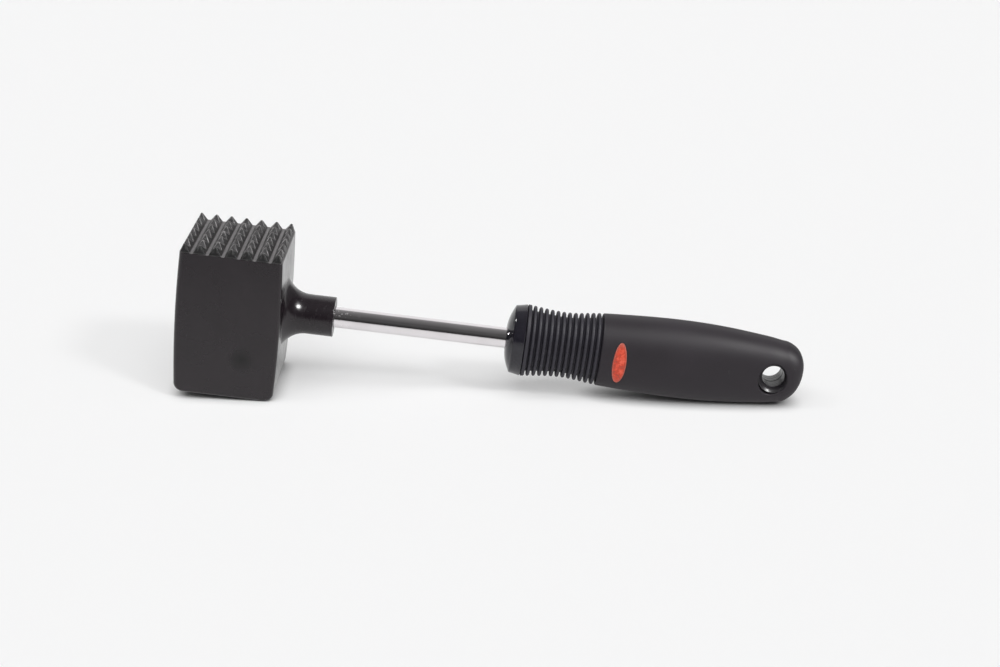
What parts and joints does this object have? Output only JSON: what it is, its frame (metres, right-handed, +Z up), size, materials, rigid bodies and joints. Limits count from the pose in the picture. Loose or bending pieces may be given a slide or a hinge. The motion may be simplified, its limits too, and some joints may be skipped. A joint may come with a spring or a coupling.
{
  "type": "meat mallet",
  "caption": "Hand mallet for tenderising meat: square metal head with a toothed and a smooth face, steel shaft, ribbed soft oval grip with a hanging eye.",
  "frame": {"origin": "middle of the footprint, on the surface that the mallet lies on", "axes": "+X towards the hanging end of the handle, +Y through the thickness away from the badge, +Z up; the tool lies as it rests, with its handle leaning down by about 5 degrees"},
  "size_m": [0.264, 0.0414, 0.068],
  "materials": {
    "cast_head": "die cast, dark grey satin coating",
    "bright_rod": "bright plated steel rod",
    "ferrule_gloss": "glossy black moulded plastic",
    "core_plastic": "plain black moulded plastic, hidden",
    "pin_steel": "plain steel pin, hidden",
    "soft_grip": "matte black soft grip with slight bloom",
    "eye_gloss": "glossy black moulded liner",
    "badge_red": "red-orange oval inlay with a paler raised rim"
  },
  "bodies": {
    "root": {"head": "cast_head", "shaft": "bright_rod", "ferrule": "ferrule_gloss", "handle_core": "core_plastic", "cross_pin": "pin_steel", "grip": "soft_grip", "eye_liner_front": "eye_gloss", "eye_liner_rear": "eye_gloss", "badge": "badge_red"}
  },
  "joints": []
}
